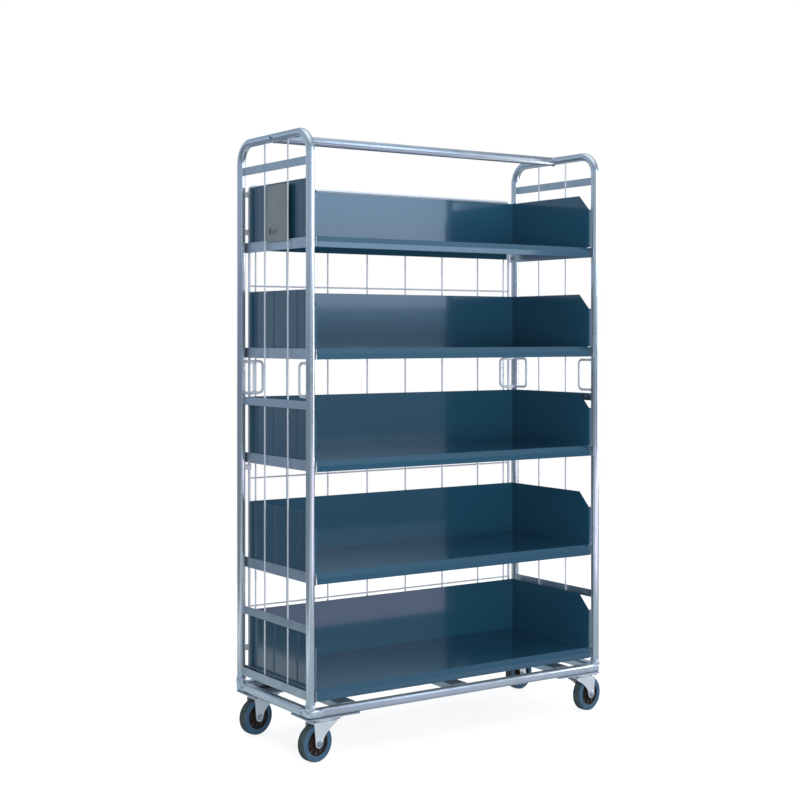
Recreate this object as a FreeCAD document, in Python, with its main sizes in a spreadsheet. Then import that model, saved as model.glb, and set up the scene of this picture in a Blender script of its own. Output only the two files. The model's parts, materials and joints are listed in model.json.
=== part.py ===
# Tall wire-sided book cart: two bent-tube side frames joined by a top tie bar and a rear mesh
# panel, five open-fronted sheet trays on angle rails, a tube base and four swivel casters.
#
# Row frame, in millimetres: +X to the right along the length, the open front faces -Y, +Z up.
# The origin is on the floor, in the middle of the plan. The left casters stand further in than the
# right ones, so the frame's own middle lies at x = frame_middle, a little to the left of the origin.
import FreeCAD, Part
import Sketcher
import os

os.makedirs("parts", exist_ok=True)
doc = FreeCAD.newDocument("BookCart")

# ---------------------------------------------------------------- driving dimensions
SIZES = {
    "overall_height": 1800,
    "post_pitch_x": 1060,
    "post_pitch_y": 412,
    "tube_radius": 12.5,
    "tube_wall": 2,
    "bend_radius": 60,
    "foot_height": 134,
    # base
    "base_bottom": 131,
    "base_rail_height": 26,
    "base_rail_half": 14,
    "base_rail_round": 8,
    "base_rail_wall": 2,
    "socket_reach": 36,
    "socket_round": 15,
    "collar_radius": 15,
    "collar_height": 12,
    "cross_width": 56,
    "cross_depth": 18,
    "cross_spread": 400,
    "corner_plate_x": 172,
    "corner_plate_y": 100,
    "corner_plate_thick": 4,
    # flat bars and wires of the side frames
    "strap_height": 24,
    "strap_thick": 3,
    "upper_strap_base": 1693,
    "middle_strap_base": 999,
    "lower_strap_base": 366,
    "bottom_bar_base": 177,
    "bottom_bar_height": 26,
    "wire_radius": 2.5,
    "wire_offset": 6,
    "tie_radius": 14,
    # trays, counted from the bottom one
    "tray_base_1": 175,
    "tray_base_2": 505,
    "tray_pitch": 318,
    "lip_height": 32,
    "lip_facet": 16,
    "lip_setback": 12,
    "tray_wall_top": 200,
    "tray_half_width": 508,
    "tray_fold": 8,
    "tray_rear_gap": 13,
    "tray_chamfer": 46,
    "tray_notch": 24,
    "sheet_thick": 1.2,
    "rail_height": 30.8,
    "rail_width": 24,
    "rail_thick": 2.5,
    # rear mesh panel
    "panel_top": 1665,
    "panel_corner": 16,
    "panel_bottom": 186,
    "panel_rod_radius": 4,
    "panel_edge": 28,
    "panel_second": 50,
    "mesh_pitch_x": 148,
    "mesh_pitch_z": 195.6,
    "mesh_wire_radius": 2.5,
    # wire loops beside the posts
    "loop_top": 1130,
    "loop_bottom": 1034,
    "loop_radius": 4,
    "loop_bend": 14,
    "loop_reach": 70,
    "loop_rear_setback": 8,
    # casters
    "wheel_radius": 54,
    "wheel_half_width": 15,
    "caster_in_left": 58,
    "caster_in_right": 32,
    "caster_in_y": 31,
    "caster_yaw": 10,
    "trail": 28,
    "fork_inner_half": 18,
    "fork_thick": 3,
    "crown_radius": 38,
    "leg_back": 46,
    "leg_front": 42,
    "boss_radius": 13,
    "crown_bottom": 111.5,
    "crown_top": 115.7,
    "race_radius": 31,
    "race_bottom": 116,
    "caster_plate_thick": 3,
    "caster_plate_x": 92,
    "caster_plate_y": 84,
    "axle_radius": 6,
    "run_clearance": 0.06,
    "label_width": 122,
    "label_height": 168,
    "label_base": 1484,
}
DERIVED = {
    "frame_middle": "=(caster_in_right - caster_in_left) / 2",
    "left_post_x": "=frame_middle - post_pitch_x / 2",
    "right_post_x": "=frame_middle + post_pitch_x / 2",
    "left_swivel_x": "=left_post_x + caster_in_left",
    "right_swivel_x": "=right_post_x - caster_in_right",
}
CELLS = {**SIZES, **DERIVED}
sheet = doc.addObject("Spreadsheet::Sheet", "Dim")
for row, (alias, value) in enumerate(CELLS.items(), start=1):
    sheet.set(f"A{row}", alias)
    sheet.set(f"B{row}", str(value))
    sheet.setAlias(f"B{row}", alias)
doc.recompute()

AXIS_ROTATION = {
    "z": FreeCAD.Rotation(),
    "x": FreeCAD.Rotation(FreeCAD.Vector(0, 1, 0), 90),
    "y": FreeCAD.Rotation(FreeCAD.Vector(1, 0, 0), -90),
}
nodes = []


def dim(expression):
    """Turn bare dimension names into references to the sheet's cells."""
    words = []
    token = ""
    for char in expression + " ":
        if char.isalnum() or char == "_":
            token += char
            continue
        words.append("Dim." + token if token in CELLS else token)
        words.append(char)
        token = ""
    return "".join(words).strip()


def number(expression):
    """The present value of an expression of the sheet."""
    return float(sheet.evalExpression(dim(str(expression))))


def place(item, x="0", y="0", z="0", rotation=None):
    """Bind an object's position to the sheet, keeping a fixed rotation."""
    if rotation is not None:
        item.Placement = FreeCAD.Placement(FreeCAD.Vector(), rotation)
    for axis, expression in (("x", x), ("y", y), ("z", z)):
        item.setExpression(f".Placement.Base.{axis}", dim(str(expression)))
    return item


def box(x, y, z, size_x, size_y, size_z, name="block"):
    item = doc.addObject("Part::Box", name)
    for prop, expression in (("Length", size_x), ("Width", size_y), ("Height", size_z)):
        item.setExpression(prop, dim(str(expression)))
    return place(item, x, y, z)


def rod(axis, radius, length, x, y, z, name="rod"):
    """Round bar from (x, y, z) along +axis."""
    item = doc.addObject("Part::Cylinder", name)
    item.setExpression("Radius", dim(str(radius)))
    item.setExpression("Height", dim(str(length)))
    return place(item, x, y, z, AXIS_ROTATION[axis])


def elbow(bend, radius, x, y, z, rotation, name="elbow"):
    """A quarter bend whose centre is at (x, y, z), turned by rotation."""
    item = doc.addObject("Part::Torus", name)
    item.setExpression("Radius1", dim(str(bend)))
    item.setExpression("Radius2", dim(str(radius)))
    item.Angle3 = 90
    return place(item, x, y, z, rotation)


def hexagon(axis, across, height, x, y, z, name="hexagon"):
    """Hexagonal head whose flats are across apart."""
    item = doc.addObject("Part::Prism", name)
    item.Polygon = 6
    item.setExpression("Circumradius", dim(f"({across}) / 1.7320508"))
    item.setExpression("Height", dim(str(height)))
    return place(item, x, y, z, AXIS_ROTATION[axis])


def fuse(pieces, name="joined"):
    item = doc.addObject("Part::MultiFuse", name)
    item.Shapes = pieces
    return item


def cut(base, tool, name="trimmed"):
    item = doc.addObject("Part::Cut", name)
    item.Base = base
    item.Tool = tool
    return item


def group(pieces, name="set"):
    """Separate solids that share one node."""
    item = doc.addObject("Part::Compound", name)
    item.Links = pieces
    return item


def node(item, label):
    """Name a finished sub-part; its label is also its file name."""
    item.Label = label
    nodes.append(item)
    return item


# ---------------------------------------------------------------- sketch helpers
def plane_of(body, role):
    return next(f for f in body.Origin.OriginFeatures if f.Role == role)


def new_body(name):
    return doc.addObject("PartDesign::Body", name)


def attach(body, role, name, lift="0"):
    """A sketch on one of the body's origin planes, lifted along the plane's normal."""
    sketch = body.newObject("Sketcher::SketchObject", name)
    sketch.AttachmentSupport = [(plane_of(body, role), "")]
    sketch.MapMode = "FlatFace"
    sketch.setExpression(".AttachmentOffset.Base.z", dim(str(lift)))
    return sketch


def polygon(body, role, corners, name="outline", lift="0"):
    """Closed outline whose corners are pairs of expressions in the sketch's own axes."""
    sketch = attach(body, role, name, lift)
    points = [FreeCAD.Vector(number(u), number(v), 0) for u, v in corners]
    for i, point in enumerate(points):
        sketch.addGeometry(Part.LineSegment(point, points[(i + 1) % len(points)]), False)
    for i in range(len(points)):
        sketch.addConstraint(Sketcher.Constraint("Coincident", i, 2, (i + 1) % len(points), 1))
    for i, (corner, point) in enumerate(zip(corners, points)):
        for kind, expression, value in (("DistanceX", corner[0], point.x), ("DistanceY", corner[1], point.y)):
            index = sketch.addConstraint(Sketcher.Constraint(kind, -1, 1, i, 1, value))
            sketch.setExpression(f"Constraints[{index}]", dim(str(expression)))
    return sketch


def circle(body, role, u, v, radius, name="ring", lift="0"):
    sketch = attach(body, role, name, lift)
    centre = FreeCAD.Vector(number(u), number(v), 0)
    sketch.addGeometry(Part.Circle(centre, FreeCAD.Vector(0, 0, 1), number(radius)), False)
    for kind, args, expression in (("DistanceX", (-1, 1, 0, 3), u), ("DistanceY", (-1, 1, 0, 3), v),
                                   ("Radius", (0,), radius)):
        index = sketch.addConstraint(Sketcher.Constraint(kind, *args, number(expression)))
        sketch.setExpression(f"Constraints[{index}]", dim(str(expression)))
    return sketch


def pad(body, sketch, length, midplane=False, reverse=False, name="Pad"):
    feature = body.newObject("PartDesign::Pad", name)
    feature.Profile = sketch
    feature.setExpression("Length", dim(str(length)))
    feature.Midplane = midplane
    feature.Reversed = reverse
    return feature


def pocket(body, sketch, length, midplane=False, name="Pocket"):
    """Cut away a sketch and check that the cut really removes material."""
    doc.recompute()
    before = body.Shape.Volume
    feature = body.newObject("PartDesign::Pocket", name)
    feature.Profile = sketch
    feature.setExpression("Length", dim(str(length)))
    feature.Midplane = midplane
    doc.recompute()
    if body.Shape.Volume > before - 1:
        raise RuntimeError(f"{body.Name}.{name} removes nothing")
    return feature


def turn(body, sketch, name="Revolution"):
    """Revolve a half outline about the sketch's vertical axis."""
    feature = body.newObject("PartDesign::Revolution", name)
    feature.Profile = sketch
    feature.ReferenceAxis = (sketch, ["V_Axis"])
    feature.Angle = 360
    return feature


# ---------------------------------------------------------------- side frames
FRONT = "-post_pitch_y / 2"
REAR = "post_pitch_y / 2"
SIDES = {"left": -1, "right": 1}


def post_x(side):
    return f"{side}_post_x"


def inward(side, distance):
    """X of a point that lies the given distance inside a side frame's plane."""
    return f"({post_x(side)} - ({SIDES[side]}) * ({distance}))"


def bent_frame(side, radius, foot):
    """Upside-down U of round bar standing in one side plane."""
    x = post_x(side)
    post_top = "overall_height - tube_radius - bend_radius"
    top_z = "overall_height - tube_radius"
    front_turn = FreeCAD.Rotation(FreeCAD.Vector(0, -1, 0), FreeCAD.Vector(0, 0, 1),
                                  FreeCAD.Vector(-1, 0, 0), "XYZ")
    rear_turn = FreeCAD.Rotation(FreeCAD.Vector(0, 1, 0), FreeCAD.Vector(0, 0, 1),
                                 FreeCAD.Vector(1, 0, 0), "XYZ")
    return fuse([
        rod("z", radius, f"{post_top} - {foot}", x, FRONT, foot),
        rod("z", radius, f"{post_top} - {foot}", x, REAR, foot),
        rod("y", radius, "post_pitch_y - 2 * bend_radius", x, f"{FRONT} + bend_radius", top_z),
        elbow("bend_radius", radius, x, f"{FRONT} + bend_radius", post_top, front_turn),
        elbow("bend_radius", radius, x, f"{REAR} - bend_radius", post_top, rear_turn),
    ])


def side_bar(side, base, height):
    """Flat bar between the two posts of a side, cut to their curve at both ends."""
    x = f"min({post_x(side)}; {inward(side, 'strap_thick')})"
    bar = box(x, FRONT, base, "strap_thick", "post_pitch_y", height)
    posts = fuse([rod("z", "tube_radius", f"{height} + 2", post_x(side), y, f"{base} - 1")
                  for y in (FRONT, REAR)])
    return cut(bar, posts)


STRAPS = {"upper": "upper_strap_base", "middle": "middle_strap_base", "lower": "lower_strap_base"}
for side in SIDES:
    outer = bent_frame(side, "tube_radius", "foot_height")
    bore = bent_frame(side, "tube_radius - tube_wall", "(foot_height - 1)")
    node(cut(outer, bore), f"{side}_side_frame")
    for level, base in STRAPS.items():
        node(side_bar(side, base, "strap_height"), f"{side}_{level}_strap")
    node(side_bar(side, "bottom_bar_base", "bottom_bar_height"), f"{side}_bottom_bar")
    wire_top = "overall_height - tube_radius - sqrt(tube_radius ^ 2 - (wire_offset - wire_radius) ^ 2) - 0.3"
    wire_foot = "bottom_bar_base + bottom_bar_height / 2"
    wires = [rod("z", "wire_radius", f"{wire_top} - ({wire_foot})", inward(side, "wire_offset"),
                 f"{FRONT} + post_pitch_y * {third} / 3", wire_foot) for third in (1, 2)]
    node(group(wires), f"{side}_side_wires")

# ---------------------------------------------------------------- top tie bar
tie_z = "overall_height - tie_radius"
tie = rod("x", "tie_radius", "post_pitch_x", "left_post_x", "0", tie_z)
tie_bore = rod("x", "tie_radius - tube_wall", "post_pitch_x + 2", "left_post_x - 1", "0", tie_z)
tie_seats = fuse([rod("y", "tube_radius", "4 * tie_radius", post_x(side), "-2 * tie_radius",
                      "overall_height - tube_radius") for side in SIDES])
node(cut(cut(tie, tie_bore), tie_seats), "top_tie_bar")

# ---------------------------------------------------------------- rear mesh panel
panel_y = f"{REAR} + 1"
panel_half = "post_pitch_x / 2 - panel_edge"
second_half = "post_pitch_x / 2 - panel_second"
panel_low = "panel_bottom"
rods = []
for sign in (-1, 1):
    edge_x = f"frame_middle + {sign} * ({panel_half})"
    corner_x = f"frame_middle + {sign} * ({panel_half} - panel_corner)"
    outward = FreeCAD.Rotation(FreeCAD.Vector(sign, 0, 0), FreeCAD.Vector(0, 0, 1),
                               FreeCAD.Vector(0, -sign, 0), "XYZ")
    bend_z = "panel_top - panel_corner"
    rods.append(rod("z", "panel_rod_radius", f"{bend_z} - {panel_low}", edge_x, panel_y, panel_low))
    rods.append(elbow("panel_corner", "panel_rod_radius", corner_x, panel_y, bend_z, outward))
    rods.append(rod("z", "mesh_wire_radius", f"panel_top - {panel_low}",
                    f"frame_middle + {sign} * ({second_half})", panel_y, panel_low))
for height, inset in (("panel_top", "panel_corner"), (panel_low, "0")):
    rods.append(rod("x", "panel_rod_radius", f"2 * ({panel_half} - {inset})",
                    f"frame_middle - ({panel_half} - {inset})", panel_y, height))
for column in range(6):
    rods.append(rod("z", "mesh_wire_radius", f"panel_top - {panel_low}",
                    f"frame_middle + ({column} - 2.5) * mesh_pitch_x", panel_y, panel_low))
for level in range(1, 8):
    rods.append(rod("x", "mesh_wire_radius", f"2 * ({panel_half})", f"frame_middle - ({panel_half})",
                    f"{panel_y} + 2 * mesh_wire_radius - 0.8", f"{panel_low} + {level} * mesh_pitch_z"))
node(fuse(rods), "rear_mesh_panel")

# Clips grip the rear posts and the panel's edge rods.
clips = []
for side in SIDES:
    for height in (250, 800, 1515, 1630):
        low_x = f"min({post_x(side)}; {inward(side, 'panel_edge + 7')})"
        block = box(low_x, f"{panel_y} - 5.5", height, "panel_edge + 7", "11", "16")
        holes = fuse([rod("z", "tube_radius", "20", post_x(side), REAR, height - 2),
                      rod("z", "panel_rod_radius", "20", inward(side, "panel_edge"), panel_y, height - 2)])
        clips.append(cut(block, holes))
node(group(clips), "panel_clips")


# ---------------------------------------------------------------- wire loops beside the posts
def wire_loop(x, y, heading):
    """C-shaped loop that leaves a post along heading, runs down and comes back."""
    along = FreeCAD.Vector(*heading)
    up = FreeCAD.Vector(0, 0, 1)
    level = "y" if heading[1] else "x"
    step = heading[1] + heading[0]
    start = "tube_radius - 1.5"
    leg = f"loop_reach - loop_bend - ({start})"

    def at(distance):
        shift = f" + ({step}) * ({distance})"
        return (x, y + shift) if level == "y" else (x + shift, y)

    low_x, low_y = at(start) if step > 0 else at("loop_reach - loop_bend")
    bend_x, bend_y = at("loop_reach - loop_bend")
    far_x, far_y = at("loop_reach")
    pieces = [rod(level, "loop_radius", leg, low_x, low_y, height) for height in ("loop_top", "loop_bottom")]
    pieces.append(rod("z", "loop_radius", "loop_top - loop_bottom - 2 * loop_bend", far_x, far_y,
                      "loop_bottom + loop_bend"))
    upper = FreeCAD.Rotation(along, up, along.cross(up), "XYZ")
    lower = FreeCAD.Rotation(along, -up, along.cross(-up), "XYZ")
    pieces.append(elbow("loop_bend", "loop_radius", bend_x, bend_y, "loop_top - loop_bend", upper))
    pieces.append(elbow("loop_bend", "loop_radius", bend_x, bend_y, "loop_bottom + loop_bend", lower))
    return fuse(pieces)


def trimmed_loop(side, y, heading, offset_x="wire_offset", offset_y="0"):
    """A loop whose two ends are mitred to the post that it is welded to."""
    post = rod("z", "tube_radius", "loop_top - loop_bottom + 40", post_x(side), y, "loop_bottom - 20")
    return cut(wire_loop(inward(side, offset_x), f"{y} + {offset_y}", heading), post)


loops = []
for side, sign in SIDES.items():
    loops.append(trimmed_loop(side, FRONT, (0, 1, 0)))
    loops.append(trimmed_loop(side, REAR, (0, -1, 0)))
    loops.append(trimmed_loop(side, REAR, (-sign, 0, 0), "0", "-loop_rear_setback"))
node(group(loops), "handle_loops")


# ---------------------------------------------------------------- trays and their rails
def tray_base(level):
    return "tray_base_1" if level == 1 else f"(tray_base_2 + {level - 2} * tray_pitch)"


def tray(level, label):
    """Sheet tray: floor, back wall, two side walls with a cut corner, and a folded front lip."""
    body = new_body(label)
    thick = "sheet_thick"
    front = "(-post_pitch_y / 2)"
    fold_y = f"({front} + lip_setback)"
    rear = "(post_pitch_y / 2 - tray_rear_gap)"
    floor = "lip_height"
    section = [
        (front, "0"), (f"{front} + {thick}", "0"),
        (f"{front} + {thick}", "lip_facet - 0.3"),
        (f"{fold_y} + 0.5", f"{floor} - {thick}"),
        (f"{rear} - {thick}", f"{floor} - {thick}"),
        (f"{rear} - {thick}", "lip_facet / 2"), (rear, "lip_facet / 2"),
        (rear, "tray_wall_top"), (f"{rear} - {thick}", "tray_wall_top"),
        (f"{rear} - {thick}", floor), (fold_y, floor), (front, "lip_facet"),
    ]
    profile = polygon(body, "YZ_Plane", section, "section")
    pad(body, profile, "2 * tray_half_width", midplane=True, name="Sheet")
    wall = [
        (f"{front} + 3", floor), (rear, floor), (rear, "tray_wall_top"),
        (f"{front} + 3 + tray_chamfer", "tray_wall_top"), (f"{front} + 3", "tray_wall_top - tray_chamfer"),
    ]
    fold = [
        (f"{front} + 3", floor), (f"{front} + 3 + {thick}", floor),
        (f"{front} + 3 + {thick}", "tray_wall_top - tray_chamfer"),
        (f"{front} + 3", "tray_wall_top - tray_chamfer"),
    ]
    for sign, name in ((-1, "left"), (1, "right")):
        outer = f"{sign} * tray_half_width"
        flip = sign > 0
        wall_outline = polygon(body, "YZ_Plane", wall, f"{name}_wall_outline", outer)
        pad(body, wall_outline, thick, reverse=flip, name=f"{name}_wall")
        fold_outline = polygon(body, "YZ_Plane", fold, f"{name}_fold_outline", outer)
        pad(body, fold_outline, "tray_fold", reverse=not flip, name=f"{name}_fold")
        edge = f"{sign} * (tray_half_width + 1)"
        inner = f"{sign} * (tray_half_width - tray_notch)"
        low, high = (edge, inner) if sign < 0 else (inner, edge)
        hang = f"{floor} - {thick}"
        rear_corners = [(low, "0"), (high, "0"), (high, hang), (low, hang)]
        rear_notch = polygon(body, "XZ_Plane", rear_corners, f"{name}_rear_outline", "-100")
        pocket(body, rear_notch, "post_pitch_y", name=f"{name}_rear_notch")
    return place(body, x="frame_middle", z=tray_base(level))


TRAYS = {1: "tray_bottom", 2: "tray_lower", 3: "tray_middle", 4: "tray_upper", 5: "tray_top"}
for level, label in TRAYS.items():
    node(tray(level, label), label)
    for side, sign in SIDES.items():
        face = "(tube_radius + 0.1)"
        web_x = f"min({inward(side, face)}; {inward(side, face + ' + rail_thick')})"
        ledge_x = f"min({inward(side, face)}; {inward(side, face + ' + rail_width')})"
        web = box(web_x, f"{FRONT} - 9", tray_base(level), "rail_thick", "post_pitch_y + 18", "rail_height")
        ledge = box(ledge_x, f"{FRONT} + 34", f"{tray_base(level)} + rail_height - rail_thick", "rail_width",
                    "post_pitch_y - 48", "rail_thick")
        node(fuse([web, ledge]), f"{side}_rail_{level}")

label_x = inward("left", "wire_offset + wire_radius + 0.3")
label_y = f"{FRONT} + post_pitch_y / 3 + (post_pitch_y / 3 - label_width) / 2"
node(box(label_x, label_y, "label_base", "1.2", "label_width", "label_height"), "label_plate")

# ---------------------------------------------------------------- base
rail_z = "base_bottom"
half = "base_rail_half"


def base_rail(label, along, length, x, y):
    """Rectangular tube with rounded edges, open at both ends, centred on (x, y)."""
    body = new_body(label)
    plane = "YZ_Plane" if along == "x" else "XZ_Plane"
    top = "base_rail_height"
    corners = [(f"-{half}", "0"), (half, "0"), (half, top), (f"-{half}", top)]
    bar = pad(body, polygon(body, plane, corners, "section"), length, midplane=True, name="Bar")
    doc.recompute()
    long_edges = [f"Edge{i + 1}" for i, edge in enumerate(bar.Shape.Edges)
                  if edge.Length > number(length) - 1]
    rounding = body.newObject("PartDesign::Fillet", "Rounding")
    rounding.Base = (bar, long_edges)
    rounding.setExpression("Radius", dim("base_rail_round"))
    wall = "base_rail_wall"
    inset = f"({half} - {wall} - 1)"
    bore = [(f"-{inset}", f"{wall} + 1"), (inset, f"{wall} + 1"), (inset, f"{top} - {wall} - 1"),
            (f"-{inset}", f"{top} - {wall} - 1")]
    pocket(body, polygon(body, plane, bore, "bore"), f"{length} + 2", midplane=True, name="Bore")
    return place(body, x, y, rail_z)


for label, y in (("front", FRONT), ("rear", REAR)):
    name = f"base_{label}_rail"
    node(base_rail(name, "x", "post_pitch_x - 2 * socket_reach", "frame_middle", y), name)
for side in SIDES:
    name = f"base_{side}_rail"
    node(base_rail(name, "y", "post_pitch_y - 2 * socket_reach", post_x(side), "0"), name)

members = []
for spread in (-1, 0, 1):
    x = f"frame_middle + {spread} * cross_spread - cross_width / 2"
    y = f"{FRONT} + {half}"
    depth = f"post_pitch_y - 2 * {half}"
    top = "base_bottom + base_rail_height"
    outer = box(x, y, f"{top} - cross_depth", "cross_width", depth, "cross_depth")
    inner = box(f"{x} + 2.5", f"{y} - 1", f"{top} - cross_depth - 1", "cross_width - 5", f"{depth} + 2",
                "cross_depth - 1.5")
    members.append(cut(outer, inner))
node(group(members), "base_cross_members")


def corner_socket(sx, sy):
    """Rounded elbow that joins two base rails, with an upright collar for the foot of a post."""
    body = new_body("corner_socket")
    reach = "socket_reach"
    top = "base_rail_height"
    outline = [(f"-{half}", f"-{half}"), (reach, f"-{half}"), (reach, half), (half, half), (half, reach),
               (f"-{half}", reach)]
    block = pad(body, polygon(body, "XY_Plane", outline, "outline"), top, name="Block")
    doc.recompute()
    flat, out = number(half), number(reach)

    def at_corner(edge):
        return all(abs(v.X + flat) < 0.01 and abs(v.Y + flat) < 0.01 for v in edge.Vertexes)

    upright = [f"Edge{i + 1}" for i, edge in enumerate(block.Shape.Edges) if at_corner(edge)]
    corner = body.newObject("PartDesign::Fillet", "Corner")
    corner.Base = (block, upright)
    corner.setExpression("Radius", dim("socket_round"))
    doc.recompute()

    def is_rim(edge):
        """Top and bottom edges, apart from those of the two faces that meet the rails."""
        box_of = edge.BoundBox
        butt = (abs(box_of.XMin - out) < 0.01 and abs(box_of.XMax - out) < 0.01) or \
               (abs(box_of.YMin - out) < 0.01 and abs(box_of.YMax - out) < 0.01)
        return box_of.ZLength < 0.01 and not butt

    rims = [f"Edge{i + 1}" for i, edge in enumerate(corner.Shape.Edges) if is_rim(edge)]
    rounding = body.newObject("PartDesign::Fillet", "Rounding")
    rounding.Base = (corner, rims)
    rounding.setExpression("Radius", dim("base_rail_round"))
    pad(body, circle(body, "XY_Plane", "0", "0", "collar_radius", "collar_outline", f"{top} - 4"),
        "collar_height + 4", name="Collar")
    mouth = circle(body, "XY_Plane", "0", "0", "tube_radius + 0.05", "bore_outline", f"{top} + collar_height")
    pocket(body, mouth, f"{top} + collar_height - 2", name="Bore")
    turns = {(-1, -1): 0, (1, -1): 90, (1, 1): 180, (-1, 1): 270}
    spin = FreeCAD.Rotation(FreeCAD.Vector(0, 0, 1), turns[(sx, sy)])
    side = "left" if sx < 0 else "right"
    return place(body, post_x(side), FRONT if sy < 0 else REAR, rail_z, spin)


sockets, plates, caster_plates, kingpins, caster_bolts = [], [], [], [], []
CORNERS = {
    "front_left": (-1, -1), "front_right": (1, -1), "rear_left": (-1, 1), "rear_right": (1, 1),
}


def span(sign, centre, out, length):
    """Low edge of a stretch that starts out beyond the post and runs inward."""
    return f"({centre} - {out})" if sign < 0 else f"({centre} + {out} - ({length}))"


for sx, sy in CORNERS.values():
    side = "left" if sx < 0 else "right"
    px = post_x(side)
    py = f"({sy} * post_pitch_y / 2)"
    sockets.append(corner_socket(sx, sy))
    corner_x = f"{px} + ({sx}) * ({half} - socket_round)"
    corner_y = f"{py} + ({sy}) * ({half} - socket_round)"
    plate = box(span(sx, px, half, "corner_plate_x"), span(sy, py, half, "corner_plate_y"),
                f"{rail_z} - corner_plate_thick", "corner_plate_x", "corner_plate_y", "corner_plate_thick")
    low_x = f"min({corner_x}; {corner_x} + ({sx}) * 40)"
    low_y = f"min({corner_y}; {corner_y} + ({sy}) * 40)"
    outside = cut(box(low_x, low_y, f"{rail_z} - 9", "40", "40", "20"),
                  rod("z", "socket_round", "24", corner_x, corner_y, f"{rail_z} - 10"))
    plates.append(cut(plate, outside))

    swivel_x = f"{side}_swivel_x"
    swivel_y = f"({py} - ({sy}) * caster_in_y)"
    plate_top = "(base_bottom - corner_plate_thick)"
    head = box(f"{swivel_x} - caster_plate_x / 2", f"{swivel_y} - caster_plate_y / 2",
               f"{plate_top} - caster_plate_thick", "caster_plate_x", "caster_plate_y", "caster_plate_thick")
    race_height = f"{plate_top} - caster_plate_thick - race_bottom"
    race = rod("z", "race_radius", race_height, swivel_x, swivel_y, "race_bottom")
    king_hole = rod("z", "axle_radius", "30", swivel_x, swivel_y, "race_bottom - 5")
    caster_plates.append(cut(fuse([head, race]), king_hole))
    king_low = "crown_bottom - 0.3"
    kingpins.append(fuse([
        rod("z", "axle_radius", f"{plate_top} - ({king_low})", swivel_x, swivel_y, king_low),
        rod("z", "11", "4", swivel_x, swivel_y, f"{king_low} - 4"),
    ]))
    for bolt_x in (-1, 1):
        for bolt_y in (-1, 1):
            x = f"{swivel_x} + {bolt_x} * (caster_plate_x / 2 - 12)"
            y = f"{swivel_y} + {bolt_y} * (caster_plate_y / 2 - 12)"
            caster_bolts.append(hexagon("z", "13", "5.5", x, y, f"{plate_top} - caster_plate_thick - 5.5"))

node(group(sockets), "corner_sockets")
node(group(plates), "corner_plates")
node(group(caster_plates), "caster_plates")
node(group(kingpins), "caster_kingpins")
node(group(caster_bolts), "caster_bolts")


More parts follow.
